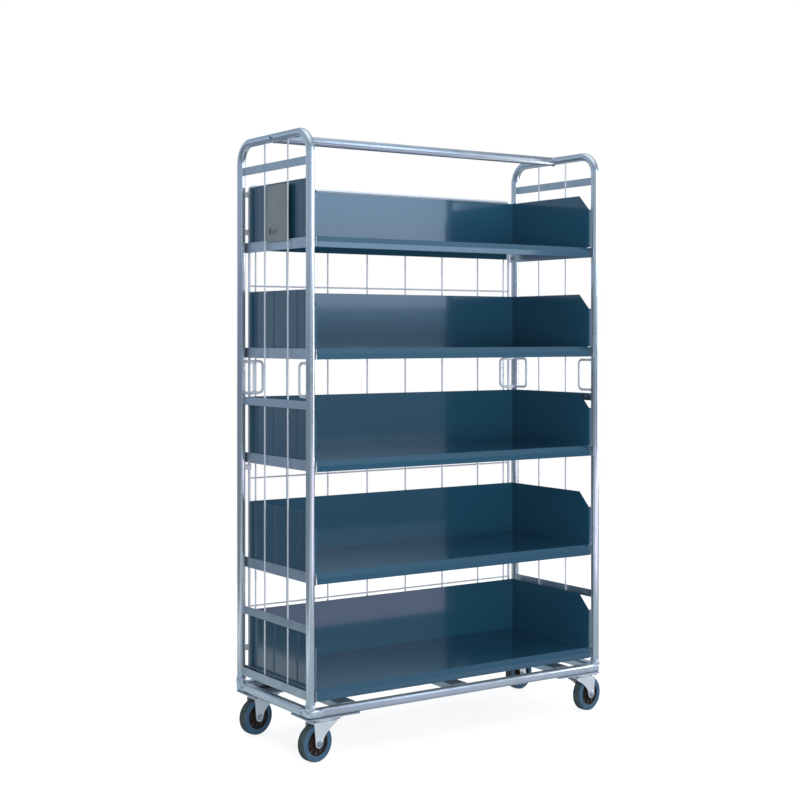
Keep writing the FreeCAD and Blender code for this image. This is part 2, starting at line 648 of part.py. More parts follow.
# ---------------------------------------------------------------- casters
def caster(label, sx, sy):
    """Swivel fork, axle, wheel core and tyre of one caster; the wheel trails outward."""
    wheel_radius = "wheel_radius"
    fork_half = "(fork_inner_half + fork_thick)"
    turn_degrees = number("caster_yaw") + (180 if sx > 0 else 0)
    spin = FreeCAD.Rotation(FreeCAD.Vector(0, 0, 1), turn_degrees)
    x = "left_swivel_x" if sx < 0 else "right_swivel_x"
    y = f"{sy} * (post_pitch_y / 2 - caster_in_y)"

    fork = new_body(f"{label}_fork")
    leg = [
        ("-leg_back", "crown_bottom"), ("-leg_back", "crown_top - 12"),
        ("-trail - boss_radius", wheel_radius), ("-trail", f"{wheel_radius} - 3"),
        ("-trail + boss_radius", wheel_radius), ("leg_front - 24", "crown_bottom - 26"),
        ("leg_front - 8", "crown_bottom - 9"), ("leg_front", "crown_bottom - 4"),
        ("leg_front", "crown_bottom"),
    ]
    pad(fork, polygon(fork, "XZ_Plane", leg, "leg_outline"), f"2 * {fork_half}", midplane=True, name="Legs")
    boss = circle(fork, "XZ_Plane", "-trail", wheel_radius, "boss_radius", "boss_outline")
    pad(fork, boss, f"2 * {fork_half}", midplane=True, name="Bosses")
    bridge = [("-leg_back", f"-{fork_half}"), ("leg_front", f"-{fork_half}"), ("leg_front", fork_half),
              ("-leg_back", fork_half)]
    bridge_outline = polygon(fork, "XY_Plane", bridge, "bridge_outline", "crown_bottom")
    pad(fork, bridge_outline, "crown_top - crown_bottom - 0.8", name="Bridge")
    gap = [("-90", "0"), ("90", "0"), ("90", "crown_bottom"), ("-90", "crown_bottom")]
    gap_outline = polygon(fork, "XZ_Plane", gap, "gap_outline")
    pocket(fork, gap_outline, "2 * fork_inner_half", midplane=True, name="Gap")
    crown = circle(fork, "XY_Plane", "0", "0", "crown_radius", "crown_outline", "crown_bottom")
    pad(fork, crown, "crown_top - crown_bottom", name="Crown")
    bore = "(axle_radius + run_clearance)"
    king_outline = circle(fork, "XY_Plane", "0", "0", bore, "kingpin_hole", "crown_top + 1")
    pocket(fork, king_outline, "20", name="KingpinHole")
    axle_outline = circle(fork, "XZ_Plane", "-trail", wheel_radius, "axle_radius", "axle_hole")
    pocket(fork, axle_outline, f"4 * {fork_half}", midplane=True, name="AxleHole")
    node(place(fork, x, y, "0", spin), f"{label}_fork")

    offset = spin.multVec(FreeCAD.Vector(-1, 0, 0))
    axle_x = f"{x} + ({offset.x:.9f}) * trail"
    axle_y = f"{y} + ({offset.y:.9f}) * trail"
    across = spin.multiply(AXIS_ROTATION["y"])
    shank = rod("z", "axle_radius", f"2 * {fork_half} + 10", "0", "0", f"-({fork_half} + 5)", "shank")
    ends = [hexagon("z", "17", "6.5", "0", "0", lift) for lift in (f"-{fork_half} - 6.5", fork_half)]
    node(place(fuse([shank] + ends), axle_x, axle_y, wheel_radius, across), f"{label}_axle")

    core = new_body(f"{label}_wheel_core")
    core_radius = "(wheel_radius - 14)"
    core_half = "(wheel_half_width - 2)"
    boss_half = "(fork_inner_half - 0.5)"
    half_section = [
        (bore, f"-{boss_half}"), ("14", f"-{boss_half}"), ("17", "-6"), (f"{core_radius} - 5", "-6"),
        (f"{core_radius} - 4", f"-{core_half}"), (core_radius, f"-{core_half}"), (core_radius, core_half),
        (f"{core_radius} - 4", core_half), (f"{core_radius} - 5", "6"), ("17", "6"), ("14", boss_half),
        (bore, boss_half),
    ]
    turn(core, polygon(core, "XZ_Plane", half_section, "core_section"), "Core")
    node(place(core, axle_x, axle_y, wheel_radius, across), f"{label}_wheel_core")

    tyre = new_body(f"{label}_tyre")
    half_section = [
        (core_radius, "-wheel_half_width"), (wheel_radius, "-wheel_half_width"),
        (wheel_radius, "wheel_half_width"), (core_radius, "wheel_half_width"),
    ]
    ring = turn(tyre, polygon(tyre, "XZ_Plane", half_section, "tyre_section"), "Tread")
    doc.recompute()
    rim = number(wheel_radius)
    tread_edges = [f"Edge{i + 1}" for i, edge in enumerate(ring.Shape.Edges)
                   if hasattr(edge.Curve, "Radius") and abs(edge.Curve.Radius - rim) < 0.01]
    shoulder = tyre.newObject("PartDesign::Fillet", "Shoulder")
    shoulder.Base = (ring, tread_edges)
    shoulder.Radius = 8
    node(place(tyre, axle_x, axle_y, wheel_radius, across), f"{label}_tyre")


for label, (sx, sy) in CORNERS.items():
    caster(label, sx, sy)

# ---------------------------------------------------------------- screws of the frame
screws = []
for side, sign in SIDES.items():
    # tie bar bolt heads seated on the outside of the top tubes
    head_x = f"{post_x(side)} + ({sign}) * (tube_radius - 2)"
    low_x = head_x if sign > 0 else f"{head_x} - 5"
    head = rod("x", "6.5", "5", low_x, "0", "overall_height - tube_radius")
    tube = rod("y", "tube_radius", "40", post_x(side), "-20", "overall_height - tube_radius")
    screws.append(cut(head, tube))
    # strap bolts inside the middle and lower straps, near both posts
    for level in ("middle", "lower"):
        for y in (f"{FRONT} + 43", f"{REAR} - 43"):
            face = inward(side, "strap_thick")
            low_x = f"{face} - 3" if sign > 0 else face
            screws.append(rod("x", "6", "3", low_x, y, f"{STRAPS[level]} + strap_height / 2"))
    # rail bolts at the rear end of each tray rail, on the inner face
    for level in TRAYS:
        face = inward(side, "tube_radius + 0.1 + rail_thick")
        low_x = f"{face} - 3" if sign > 0 else face
        screws.append(rod("x", "5", "3", low_x, f"{REAR} - 2", f"{tray_base(level)} + 14"))
    # base screws through the outer face of the corner sockets
    for y in (f"{FRONT} + 28", f"{REAR} - 28"):
        face = f"{post_x(side)} + ({sign}) * base_rail_half"
        low_x = face if sign > 0 else f"{face} - 1.6"
        screws.append(rod("x", "5", "1.6", low_x, y, "base_bottom + base_rail_height / 2"))
node(group(screws), "frame_screws")

# ---------------------------------------------------------------- check and write
doc.recompute()
for item in doc.Objects:
    if "Invalid" in item.State or "Error" in item.State:
        raise RuntimeError(f"{item.Label} failed: {item.State}")
for item in nodes:
    if item.Shape.isNull() or not item.Shape.isValid():
        raise RuntimeError(f"{item.Label} has no valid shape")
    item.Shape.exportStep(f"parts/{item.Label}.step")
    box_of = item.Shape.BoundBox
    print(f"{item.Label:26s} solids {len(item.Shape.Solids):3d}  volume {item.Shape.Volume / 1000:9.2f} cm3"
          f"  x {box_of.XMin:8.1f} {box_of.XMax:8.1f}  y {box_of.YMin:7.1f} {box_of.YMax:7.1f}"
          f"  z {box_of.ZMin:7.1f} {box_of.ZMax:7.1f}")
print(len(nodes), "nodes")
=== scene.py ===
"""Looks of the book cart: camera, studio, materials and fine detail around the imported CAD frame."""

import json
import math
import random

import bmesh
import bpy
from mathutils import Matrix, Vector


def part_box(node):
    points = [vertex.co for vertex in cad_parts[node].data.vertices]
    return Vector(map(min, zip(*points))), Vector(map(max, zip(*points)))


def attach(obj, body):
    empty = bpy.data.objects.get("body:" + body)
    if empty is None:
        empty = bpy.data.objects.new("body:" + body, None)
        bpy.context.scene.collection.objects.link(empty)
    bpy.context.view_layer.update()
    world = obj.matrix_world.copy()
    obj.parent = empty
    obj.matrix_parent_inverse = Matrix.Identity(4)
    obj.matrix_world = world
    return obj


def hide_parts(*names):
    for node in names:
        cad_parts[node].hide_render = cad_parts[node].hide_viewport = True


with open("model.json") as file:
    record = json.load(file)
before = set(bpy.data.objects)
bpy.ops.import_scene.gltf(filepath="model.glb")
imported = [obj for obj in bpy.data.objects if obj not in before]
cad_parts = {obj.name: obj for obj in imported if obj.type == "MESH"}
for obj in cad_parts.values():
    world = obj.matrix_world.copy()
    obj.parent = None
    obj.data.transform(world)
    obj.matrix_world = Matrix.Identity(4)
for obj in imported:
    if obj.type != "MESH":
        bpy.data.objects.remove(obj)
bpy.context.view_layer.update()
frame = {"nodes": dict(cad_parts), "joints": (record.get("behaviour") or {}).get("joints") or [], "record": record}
record = frame["record"]
joints = {j["name"]: j for j in frame["joints"]}
scene = bpy.context.scene
random.seed(7)

# ---------------------------------------------------------------- camera (metres, the cart's own frame)
VIEW_YAW = math.radians(34.2)
CAMERA_BEARING = math.radians(34.9)
CAMERA_DISTANCE = 4.64
EYE_HEIGHT = 1.212
LENS_MM = 66.75
SENSOR_MM = 36.0
FAR_CLIP = 200.0
SHIFT = (-0.006, -0.082)
FRAME_MIDDLE = (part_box("left_side_frame")[0][0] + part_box("right_side_frame")[1][0]) / 2


def add_camera():
    data = bpy.data.cameras.new("camera")
    data.lens = LENS_MM
    data.sensor_width = SENSOR_MM
    data.shift_x, data.shift_y = SHIFT
    data.clip_end = FAR_CLIP
    camera = bpy.data.objects.new("camera", data)
    camera.location = (FRAME_MIDDLE - CAMERA_DISTANCE * math.sin(CAMERA_BEARING),
                       -CAMERA_DISTANCE * math.cos(CAMERA_BEARING), EYE_HEIGHT)
    camera.rotation_euler = (math.pi / 2, 0, -VIEW_YAW)
    scene.collection.objects.link(camera)
    scene.camera = camera


# ---------------------------------------------------------------- studio
FLOOR_HALF = 2.6
FLOOR_GREY = (0.60, 0.60, 0.60)
FLOOR_GLOW = 0.80
# The floor as the cart's reflections see it: a painted reflection that glows for glossy rays only, with a painted
# shadow of the cart close to it and painted light beyond.
SHEET_NEAR_SHADOW = (0.30, 0.39, 0.46)
SHEET_LEFT = (0.62, 0.70, 0.76)
SHEET_FRONT_LIGHT = (1.15, 1.02, 1.34)
BEYOND_SHEET = (0.11, 0.16, 0.21)
KEY_BEARING = math.radians(17)
SOFT_LIGHT = 0.42
ROOM_LIGHT = 1.15


def add_floor():
    """A plain pale floor; reflections see a glowing bright sheet that ends a little left of the cart, with a
    painted shadow near the cart and painted light in front.
    """
    half = FLOOR_HALF
    mesh = bpy.data.meshes.new("floor")
    corners = [(-half, -half, 0), (half, -half, 0), (half, half, 0), (-half, half, 0)]
    mesh.from_pydata(corners, [], [(0, 1, 2, 3)])
    floor = bpy.data.objects.new("floor", mesh)
    scene.collection.objects.link(floor)
    material = bpy.data.materials.new("floor")
    material.use_nodes = True
    tree = material.node_tree
    shader = tree.nodes["Principled BSDF"]
    shader.inputs["Roughness"].default_value = 1.0
    shader.inputs["Specular IOR Level"].default_value = 0.0
    shader.inputs["Base Color"].default_value = (*FLOOR_GREY, 1)
    shader.inputs["Emission Color"].default_value = (1, 1, 1, 1)
    path = tree.nodes.new("ShaderNodeLightPath")
    glow = tree.nodes.new("ShaderNodeMath")
    glow.operation = "MULTIPLY"
    glow.inputs[1].default_value = FLOOR_GLOW
    tree.links.new(path.outputs["Is Camera Ray"], glow.inputs[0])
    tree.links.new(glow.outputs[0], shader.inputs["Emission Strength"])
    place = tree.nodes.new("ShaderNodeTexCoord")
    split = tree.nodes.new("ShaderNodeSeparateXYZ")
    tree.links.new(place.outputs["Object"], split.inputs["Vector"])

    def fade(source, start, end, low, high):
        """Blend between two colours across part of the floor; each is a constant or a socket."""
        span = tree.nodes.new("ShaderNodeMapRange")
        span.inputs["From Min"].default_value = start
        span.inputs["From Max"].default_value = end
        tree.links.new(source, span.inputs["Value"])
        mix = tree.nodes.new("ShaderNodeMix")
        mix.data_type = "RGBA"
        tree.links.new(span.outputs["Result"], mix.inputs[0])
        for socket, colour in ((mix.inputs[6], low), (mix.inputs[7], high)):
            if isinstance(colour, tuple):
                socket.default_value = (*colour, 1)
            else:
                tree.links.new(colour, socket)
        return mix.outputs[2]

    # Painted shadow: reflections see the floor darker close to the cart, and brighter in a strip further left.
    near_shadow = fade(split.outputs["X"], -0.98, -0.80, SHEET_LEFT, SHEET_NEAR_SHADOW)
    # Painted light: a bright patch on the floor in front of the cart, seen in reflections only.
    front = fade(split.outputs["X"], -0.3, 0.0, near_shadow, SHEET_FRONT_LIGHT)
    sheet = fade(split.outputs["Y"], -1.0, -0.8, front, near_shadow)
    # Painted shade: reflections see the floor beyond the sheet's left edge as dark.
    seen = fade(split.outputs["X"], -1.18, -1.12, BEYOND_SHEET, sheet)
    mirror = tree.nodes.new("ShaderNodeEmission")
    tree.links.new(seen, mirror.inputs["Color"])
    mix = tree.nodes.new("ShaderNodeMixShader")
    tree.links.new(path.outputs["Is Glossy Ray"], mix.inputs["Fac"])
    tree.links.new(shader.outputs["BSDF"], mix.inputs[1])
    tree.links.new(mirror.outputs["Emission"], mix.inputs[2])
    tree.links.new(mix.outputs["Shader"], tree.nodes["Material Output"].inputs["Surface"])
    mesh.materials.append(material)


def add_softbox(name, place, aim, size, power, lights=True, reflects=True, colour=(1, 1, 1)):
    data = bpy.data.lights.new(name, "AREA")
    data.shape = "RECTANGLE"
    data.size, data.size_y = size
    data.energy = power
    data.color = colour
    light = bpy.data.objects.new(name, data)
    light.location = place
    light.rotation_euler = (Vector(aim) - Vector(place)).to_track_quat("-Z", "Y").to_euler()
    light.visible_camera = False
    light.visible_diffuse = lights
    light.visible_glossy = reflects
    scene.collection.objects.link(light)


def add_world():
    """White backdrop and soft light; reflections see a grey-blue room with a bright band and ceiling."""
    world = bpy.data.worlds.new("studio")
    world.use_nodes = True
    scene.world = world
    tree = world.node_tree
    tree.nodes.clear()
    make = tree.nodes.new

    def ramp(source, stops):
        node = make("ShaderNodeValToRGB")
        elements = node.color_ramp.elements
        while len(elements) < len(stops):
            elements.new(0.5)
        for element, (position, colour) in zip(elements, stops):
            element.position = position
            element.color = (*colour, 1)
        tree.links.new(source, node.inputs["Fac"])
        return node.outputs["Color"]

    def spread(source, low, high):
        node = make("ShaderNodeMapRange")
        node.inputs["From Min"].default_value = low
        node.inputs["From Max"].default_value = high
        tree.links.new(source, node.inputs["Value"])
        return node.outputs["Result"]

    def combine(mode, first, second):
        node = make("ShaderNodeMix")
        node.data_type = "RGBA"
        node.blend_type = mode
        node.inputs[0].default_value = 1.0
        tree.links.new(first, node.inputs[6])
        tree.links.new(second, node.inputs[7])
        return node.outputs[2]

    place = make("ShaderNodeTexCoord")
    towards = make("ShaderNodeVectorMath")
    towards.operation = "DOT_PRODUCT"
    towards.inputs[1].default_value = (math.sin(KEY_BEARING), -math.cos(KEY_BEARING), 0.0)
    tree.links.new(place.outputs["Generated"], towards.inputs[0])
    round_room = ramp(spread(towards.outputs["Value"], -1.0, 1.0), [
        (0.0, (0.34, 0.42, 0.54)), (0.3, (0.24, 0.31, 0.38)), (0.62, (0.20, 0.27, 0.34)),
        (0.84, (0.27, 0.35, 0.45)), (0.93, (0.33, 0.42, 0.54)), (1.0, (0.34, 0.43, 0.55))])
    split = make("ShaderNodeSeparateXYZ")
    tree.links.new(place.outputs["Generated"], split.inputs["Vector"])
    height = ramp(spread(split.outputs["Z"], -0.6, 1.0), [
        (0.0, (0.34, 0.40, 0.44)), (0.30, (0.36, 0.42, 0.48)), (0.37, (1.0, 1.0, 1.0)),
        (0.58, (0.84, 0.90, 0.94)), (0.72, (0.44, 0.52, 0.56)), (1.0, (0.40, 0.46, 0.50))])
    shaded = combine("MULTIPLY", round_room, height)
    ceiling = ramp(spread(split.outputs["Z"], 0.60, 0.95), [(0.0, (0, 0, 0)), (1.0, (0.66, 0.71, 0.76))])
    lit = combine("ADD", shaded, ceiling)
    room = make("ShaderNodeBackground")
    room.inputs["Strength"].default_value = ROOM_LIGHT
    tree.links.new(lit, room.inputs["Color"])
    white = make("ShaderNodeBackground")
    soft = make("ShaderNodeBackground")
    for backdrop, strength in ((white, 1.0), (soft, SOFT_LIGHT)):
        backdrop.inputs["Color"].default_value = (1, 1, 1, 1)
        backdrop.inputs["Strength"].default_value = strength
    path = make("ShaderNodeLightPath")
    seen = make("ShaderNodeMixShader")
    mix = make("ShaderNodeMixShader")
    tree.links.new(path.outputs["Is Camera Ray"], seen.inputs["Fac"])
    tree.links.new(soft.outputs["Background"], seen.inputs[1])
    tree.links.new(white.outputs["Background"], seen.inputs[2])
    tree.links.new(path.outputs["Is Glossy Ray"], mix.inputs["Fac"])
    tree.links.new(seen.outputs["Shader"], mix.inputs[1])
    tree.links.new(room.outputs["Background"], mix.inputs[2])
    output = make("ShaderNodeOutputWorld")
    tree.links.new(mix.outputs["Shader"], output.inputs["Surface"])


def add_studio():
    scene.view_settings.view_transform = "Standard"
    add_floor()
    add_world()
    add_softbox("key", (1.85, -4.0, 2.35), (0, 0, 1.1), (2.5, 2.0), 47, lights=False,
                colour=(0.64, 0.78, 1.0))
    add_softbox("front", (-1.3, -4.3, 1.1), (0, 0, 0.7), (2.6, 2.0), 112, reflects=False)
    add_softbox("side", (4.3, -1.3, 1.2), (0, 0, 0.9), (1.4, 3.0), 58, lights=False)
    add_softbox("top", (0.3, -0.6, 4.2), (0, 0, 0.8), (3.0, 2.2), 48, reflects=False)


# ---------------------------------------------------------------- materials
class Shade:
    """A principled material and the few node patterns that the finishes share."""

    def __init__(self, name, colour, roughness, metallic=0.0):
        self.material = bpy.data.materials.new(name)
        self.material.use_nodes = True
        self.tree = self.material.node_tree
        self.shader = self.tree.nodes["Principled BSDF"]
        self.shader.inputs["Base Color"].default_value = (*colour, 1)
        self.shader.inputs["Roughness"].default_value = roughness
        self.shader.inputs["Metallic"].default_value = metallic
        self.place = self.tree.nodes.new("ShaderNodeTexCoord").outputs["Object"]

    def link(self, source, target):
        self.tree.links.new(source, target)

    def noise(self, scale, detail):
        texture = self.tree.nodes.new("ShaderNodeTexNoise")
        texture.inputs["Scale"].default_value = scale
        texture.inputs["Detail"].default_value = detail
        self.link(self.place, texture.inputs["Vector"])
        return texture.outputs["Fac"]

    def cells(self, scale):
        texture = self.tree.nodes.new("ShaderNodeTexVoronoi")
        texture.inputs["Scale"].default_value = scale
        self.link(self.place, texture.inputs["Vector"])
        return texture.outputs["Color"]

    def ramp(self, source, low, high, start=0.3, end=0.7):
        """Turn a grey pattern into a blend of two colours."""
        node = self.tree.nodes.new("ShaderNodeValToRGB")
        for element, position, colour in zip(node.color_ramp.elements, (start, end), (low, high)):
            element.position = position
            element.color = (*colour, 1)
        self.link(source, node.inputs["Fac"])
        return node.outputs["Color"]

    def span(self, source, low, high, start=0.3, end=0.7):
        """Map a grey pattern to a range of values."""
        node = self.tree.nodes.new("ShaderNodeMapRange")
        for name, value in (("From Min", start), ("From Max", end), ("To Min", low), ("To Max", high)):
            node.inputs[name].default_value = value
        self.link(source, node.inputs["Value"])
        return node.outputs["Result"]

    def mix(self, factor, low, high):
        """Blend two colours; each value is a socket or a constant."""
        node = self.tree.nodes.new("ShaderNodeMix")
        node.data_type = "RGBA"
        for socket, value in ((node.inputs[0], factor), (node.inputs[6], low), (node.inputs[7], high)):
            if hasattr(value, "is_linked"):
                self.link(value, socket)
            else:
                socket.default_value = value if isinstance(value, (int, float)) else (*value, 1)
        return node.outputs[2]

    def bump(self, source, strength, depth):
        node = self.tree.nodes.new("ShaderNodeBump")
        node.inputs["Strength"].default_value = strength
        node.inputs["Distance"].default_value = depth
        self.link(source, node.inputs["Height"])
        self.link(node.outputs["Normal"], self.shader.inputs["Normal"])

    def colour(self, source):
        self.link(source, self.shader.inputs["Base Color"])

    def roughness(self, source):
        self.link(source, self.shader.inputs["Roughness"])


def zinc(name, light, dark, rough, metallic=1.0, spangle=90.0):
    """Zinc plating: faint spangle, cloudy passivation and a few dull handled spots."""
    look = Shade(name, light, rough, metallic)
    cloud = look.ramp(look.noise(7.0, 5.0), dark, light, 0.34, 0.60)
    crystal = look.ramp(look.cells(spangle), tuple(0.96 * c for c in light), light, 0.1, 0.9)
    look.colour(look.mix(0.4, cloud, crystal))
    handled = look.noise(26.0, 6.0)
    look.roughness(look.span(handled, rough - 0.04, rough + 0.10, 0.30, 0.72))
    look.bump(look.noise(500.0, 2.0), 0.02, 0.0001)
    return look.material


def tray_paint():
    """Smooth steel-blue powder coat with fine orange peel, handling haze and a little dust."""
    look = Shade("tray_paint", (0.015, 0.080, 0.142), 0.15)
    look.shader.inputs["Coat Weight"].default_value = 0.7
    look.shader.inputs["Coat Roughness"].default_value = 0.06
    base = look.ramp(look.noise(2.2, 2.0), (0.014, 0.077, 0.137), (0.016, 0.083, 0.148), 0.2, 0.8)
    dust = look.span(look.noise(260.0, 6.0), 0.0, 0.035, 0.35, 0.80)
    look.colour(look.mix(dust, base, (0.10, 0.15, 0.20)))
    look.roughness(look.span(look.noise(3.0, 2.0), 0.13, 0.17, 0.15, 0.85))
    look.bump(look.noise(420.0, 2.0), 0.04, 0.0002)
    return look.material


def tyre_rubber():
    """Blue-grey sidewall rubber, slightly chalky."""
    look = Shade("tyre_rubber", (0.050, 0.125, 0.215), 0.5)
    wear = look.noise(55.0, 6.0)
    look.colour(look.ramp(wear, (0.040, 0.102, 0.178), (0.060, 0.140, 0.238), 0.3, 0.7))
    look.roughness(look.span(wear, 0.42, 0.62))
    look.bump(look.noise(900.0, 3.0), 0.25, 0.0004)
    return look.material


def tread_rubber():
    """Darker running surface with scuffs and grit."""
    look = Shade("tread_rubber", (0.050, 0.078, 0.090), 0.7)
    wear = look.noise(70.0, 6.0)
    look.colour(look.ramp(wear, (0.034, 0.056, 0.066), (0.085, 0.115, 0.128), 0.3, 0.7))
    look.roughness(look.span(wear, 0.6, 0.85))
    look.bump(look.noise(700.0, 4.0), 0.4, 0.0005)
    return look.material


def wheel_plastic():
    """Near-black moulded core with a warm cast."""
    look = Shade("wheel_core", (0.020, 0.014, 0.012), 0.42)
    grain = look.noise(140.0, 5.0)
    look.colour(look.ramp(grain, (0.016, 0.011, 0.010), (0.038, 0.026, 0.023), 0.3, 0.7))
    look.roughness(look.span(grain, 0.32, 0.55))
    look.bump(look.noise(1500.0, 2.0), 0.15, 0.0002)
    return look.material


def plate_paint():
    """Sage-grey satin plate."""
    look = Shade("label_plate", (0.260, 0.325, 0.350), 0.45)
    haze = look.noise(14.0, 5.0)
    look.colour(look.ramp(haze, (0.240, 0.300, 0.325), (0.280, 0.345, 0.372), 0.3, 0.7))
    look.roughness(look.span(look.noise(80.0, 6.0), 0.36, 0.58))
    look.bump(look.noise(650.0, 2.0), 0.08, 0.0003)
    return look.material


def plate_field():
    """Darker blank fields on the plate."""
    look = Shade("plate_field", (0.060, 0.078, 0.090), 0.5)
    haze = look.noise(90.0, 5.0)
    look.colour(look.ramp(haze, (0.050, 0.066, 0.076), (0.085, 0.105, 0.118), 0.3, 0.7))
    look.roughness(look.span(haze, 0.42, 0.60))
    return look.material


MATERIALS = {
    "zinc_tube": zinc("zinc_tube", (0.82, 0.87, 0.91), (0.72, 0.77, 0.82), 0.19, 0.86),
    # The bars' zinc is a darker, rougher copy of the tube zinc: partly painted shade that dims their highlights,
    # partly their own duller plating.
    "zinc_bar_shaded": zinc("zinc_bar_shaded", (0.60, 0.65, 0.70), (0.52, 0.57, 0.62), 0.32, 0.82),
    "zinc_strip": zinc("zinc_strip", (0.64, 0.69, 0.73), (0.56, 0.62, 0.66), 0.34),
    "zinc_wire": zinc("zinc_wire", (0.88, 0.93, 1.0), (0.80, 0.86, 0.94), 0.34, 0.45, 160.0),
    "zinc_caster": zinc("zinc_caster", (0.90, 0.93, 0.96), (0.80, 0.85, 0.89), 0.33, 0.52, 130.0),
    "fastener": zinc("fastener", (0.60, 0.63, 0.68), (0.42, 0.45, 0.49), 0.33, 1.0, 200.0),
    "tray_paint": tray_paint(),
    "label_plate": plate_paint(),
    "wheel_core": wheel_plastic(),
    "tyre": tyre_rubber(),
    "tread": tread_rubber(),
    "weld": zinc("weld", (0.70, 0.76, 0.83), (0.54, 0.60, 0.67), 0.40, 0.8, 300.0),
    "plate_field": plate_field(),
}


# ---------------------------------------------------------------- carried-over CAD nodes
BEVEL_WIDTH = {"tray_paint": 0.0009, "zinc_tube": 0.0010, "zinc_strip": 0.0007, "zinc_wire": 0.0004,
               "zinc_caster": 0.0008, "fastener": 0.0006, "label_plate": 0.0004, "wheel_core": 0.0008,
               "tyre": 0.0015}
# The tie bar and base rails get the darker zinc copy: painted shade over their highlights, and partly a duller
# plating.
SHADED_DULL_BARS = ("top_tie_bar", "base_front_rail", "base_rear_rail")
MERGE_DISTANCE = 0.00002


def finish_cad_nodes():
    """Give each CAD node its finish and soft edges."""
    for entry in record["subparts"]:
        item = frame["nodes"][entry["node"]]
        slot = entry["material_slot"]
        item.data.materials.clear()
        item.data.materials.append(MATERIALS["zinc_bar_shaded" if entry["node"] in SHADED_DULL_BARS else slot])
        weld = item.modifiers.new("Weld", "WELD")
        weld.merge_threshold = MERGE_DISTANCE
        soften(item, BEVEL_WIDTH[slot])


# ---------------------------------------------------------------- mesh helpers
MM = 0.001
UP = Vector((0, 0, 1))
UPRIGHT = Matrix.Rotation(math.radians(90), 4, "X")
ALONG_X = Matrix(((0, 0, 1, 0), (1, 0, 0, 0), (0, 1, 0, 0), (0, 0, 0, 1)))
SHARP_ANGLE = math.radians(42)
BEVEL_ANGLE = math.radians(38)


def add_piece(name, bm, body, slot, looks=None, stands_for=(), soft=0.0):
    """Make a shown piece from a bmesh in row coordinates and let it ride a CAD body."""
    bmesh.ops.recalc_face_normals(bm, faces=bm.faces)
    mesh = bpy.data.meshes.new(name)
    bm.to_mesh(mesh)
    bm.free()
    mesh.shade_smooth()
    mesh.set_sharp_from_angle(angle=SHARP_ANGLE)
    for look in looks or (slot,):
        mesh.materials.append(MATERIALS[look])
    item = bpy.data.objects.new(name, mesh)
    scene.collection.objects.link(item)
    if soft:
        soften(item, soft)
    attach(item, body)
    if stands_for:
        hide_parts(*stands_for)


def soften(item, width):
    """Small round on every sharp edge."""
    bevel = item.modifiers.new("Bevel", "BEVEL")
    bevel.width = width
    bevel.segments = 2
    bevel.limit_method = "ANGLE"
    bevel.angle_limit = BEVEL_ANGLE
    bevel.use_clamp_overlap = True
    bevel.harden_normals = True


def revolve(bm, outline, place, steps=48, look=None):
    """Turn an outline of (radius, along) points about local Z; one that stays off the axis is closed."""
    poles = {k: bm.verts.new(place @ Vector((0, 0, z)))
             for k, (radius, z) in enumerate(outline) if radius == 0}
    rings = []
    for step in range(steps):
        turn = 2 * math.pi * step / steps
        rings.append([poles[k] if k in poles else
                      bm.verts.new(place @ Vector((radius * math.cos(turn), radius * math.sin(turn), z)))
                      for k, (radius, z) in enumerate(outline)])
    pairs = [(k, k + 1) for k in range(len(outline) - 1)]
    if not poles:
        pairs.append((len(outline) - 1, 0))
    for ring, following in zip(rings, rings[1:] + rings[:1]):
        for j, k in pairs:
            corners = list(dict.fromkeys((ring[j], ring[k], following[k], following[j])))
            if len(corners) > 2:
                face = bm.faces.new(corners)
                if look:
                    face.material_index = look(min(outline[j][0], outline[k][0]))


def extrude(bm, outline, place, start, end):
    """Prism from an outline of (x, y) points between two heights along local Z."""
    low, high = ([bm.verts.new(place @ Vector((x, y, z))) for x, y in outline] for z in (start, end))
    count = len(outline)
    for k in range(count):
        bm.faces.new((low[k], low[(k + 1) % count], high[(k + 1) % count], high[k]))
    bm.faces.new(low[::-1])
    bm.faces.new(high)


def arc(x, y, radius, start, end, steps=8):
    """Points on an arc, with the angles in degrees."""
    angles = [math.radians(start + (end - start) * k / steps) for k in range(steps + 1)]
    return [(x + radius * math.cos(a), y + radius * math.sin(a)) for a in angles]


def curve_to(start, control, end, steps=10):
    """Points of a quadratic curve after its start."""
    points = []
    for k in range(1, steps + 1):
        t = k / steps
        points.append(tuple((1 - t) ** 2 * a + 2 * t * (1 - t) * b + t * t * c
                            for a, b, c in zip(start, control, end)))
    return points


def mirrored(outline):
    """Close an outline given for positive heights with its mirror image below."""
    return outline + [(radius, -z) for radius, z in reversed(outline)]


def towards(direction, at):
    """Placement with local Z along a direction."""
    return Matrix.Translation(at) @ Vector(direction).to_track_quat("Z", "Y").to_matrix().to_4x4()


def bead(bm, start, end, radius, spacing=0.0035):
    """Weld bead: a lumpy tube with closed ends."""
    start, end = Vector(start), Vector(end)
    length = (end - start).length
    place = towards(end - start, start)
    steps = max(3, round(length / spacing)) * 3
    outline = [(0, 0)]
    for k in range(1, steps):
        t = k / steps
        ripple = 0.82 + 0.18 * abs(math.sin(math.pi * t * steps / 3)) + random.uniform(-0.04, 0.04)
        rounding = min(1.0, 6 * t, 6 * (1 - t)) ** 0.5
        outline.append((radius * ripple * rounding, length * t))
    outline.append((0, length))
    revolve(bm, outline, place, 10)


def ring_path(centre, axis, radius, count=40):
    """Points of a circle round an axis."""
    place = towards(axis, Vector(centre))
    angles = [2 * math.pi * k / count for k in range(count)]
    return [place @ Vector((radius * math.cos(a), radius * math.sin(a), 0)) for a in angles]


